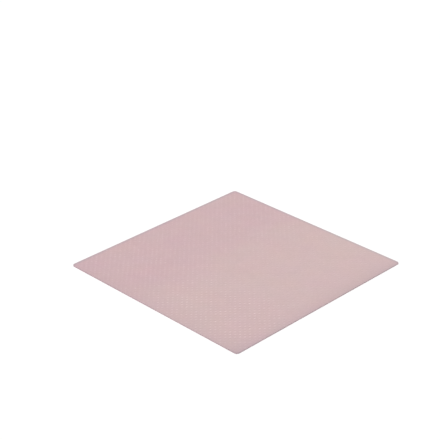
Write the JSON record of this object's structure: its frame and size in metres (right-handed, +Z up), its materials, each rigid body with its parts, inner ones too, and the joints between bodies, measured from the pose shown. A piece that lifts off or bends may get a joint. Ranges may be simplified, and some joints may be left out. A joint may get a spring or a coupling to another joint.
{
  "type": "thermal pad sheet",
  "caption": "Flat square sheet of soft pink silicone with a fine woven relief and small round corners, die-cut to carry heat from electronic parts into a heatsink.",
  "frame": {"origin": "centre of the sheet's lower face, where it lies on the floor or on a chip", "axes": "+Z up through the sheet's thickness, +X and +Y along its sides"},
  "size_m": [0.1, 0.1, 0.0005],
  "materials": {
    "pink_silicone": "matte"
  },
  "bodies": {
    "root": {"pad_sheet": "pink_silicone"}
  },
  "joints": []
}
